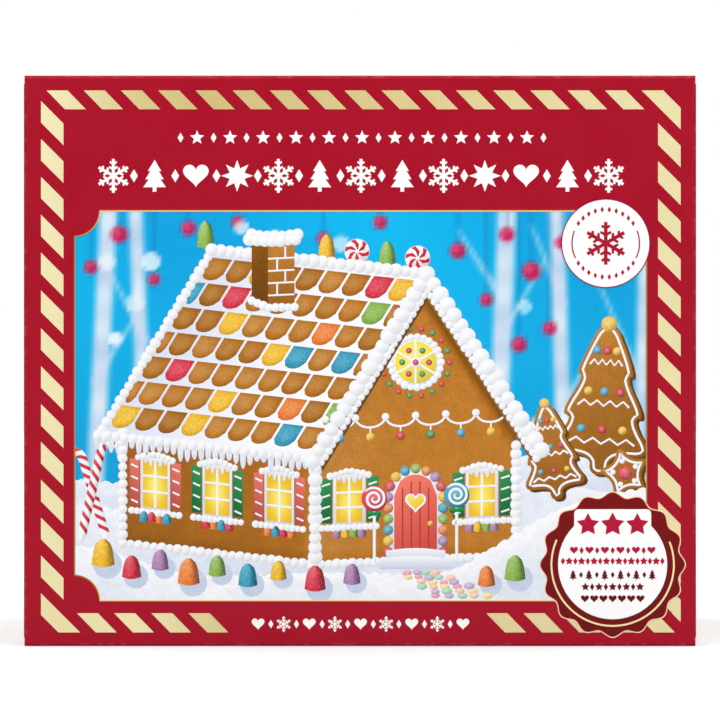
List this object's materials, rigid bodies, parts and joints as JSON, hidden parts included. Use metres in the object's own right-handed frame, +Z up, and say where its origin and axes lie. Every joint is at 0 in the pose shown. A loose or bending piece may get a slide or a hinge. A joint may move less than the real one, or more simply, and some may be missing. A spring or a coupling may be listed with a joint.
{
  "type": "gingerbread house kit carton",
  "caption": "Shut corrugated gift carton for a gingerbread house kit, with full-overlap glued flaps and a glued joint at the rear left edge.",
  "frame": {"origin": "middle of the footprint, on the surface that the carton stands on", "axes": "+Z up, -Y out of the main printed panel, +X to the right as the main panel is looked at"},
  "size_m": [0.3308, 0.222, 0.2804],
  "materials": {
    "printed_board": "crimson litho print with a satin varnish",
    "gold_ink": "pale gold ink with a soft metallic sheen",
    "picture_ink": "four-colour print with a satin varnish",
    "bare_board": "unprinted kraft fluting and liner at the cut edges"
  },
  "bodies": {
    "root": {"carton": "printed_board"}
  },
  "joints": []
}
